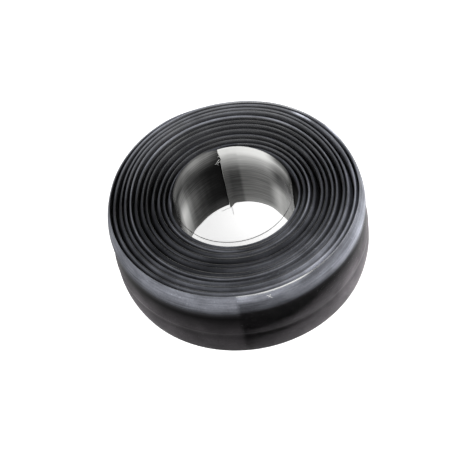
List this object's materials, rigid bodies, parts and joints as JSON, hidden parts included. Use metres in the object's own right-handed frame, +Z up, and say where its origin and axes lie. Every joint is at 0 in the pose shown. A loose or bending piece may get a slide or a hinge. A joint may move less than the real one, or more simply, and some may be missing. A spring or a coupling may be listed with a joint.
{
  "type": "grip tape roll",
  "caption": "Coreless roll of black rubber racket grip tape with thin bevelled edges and a guide rib, wound together with a clear release liner whose inner end has sprung loose in the bore.",
  "frame": {"origin": "centre of the bore inside the loose liner curl, in the plane the roll stands on", "axes": "+Z up along the bore axis; -Y towards the viewer of the picture, where the liner's outer seam is; +X to the viewer's right"},
  "size_m": [0.074, 0.0744, 0.0254],
  "materials": {
    "tape_rubber": "satin black rubber with a faint grey bloom",
    "liner_film": "thin clear film, slightly hazy, glossy"
  },
  "bodies": {
    "root": {"grip_tape": "tape_rubber", "release_liner": "liner_film"}
  },
  "joints": []
}
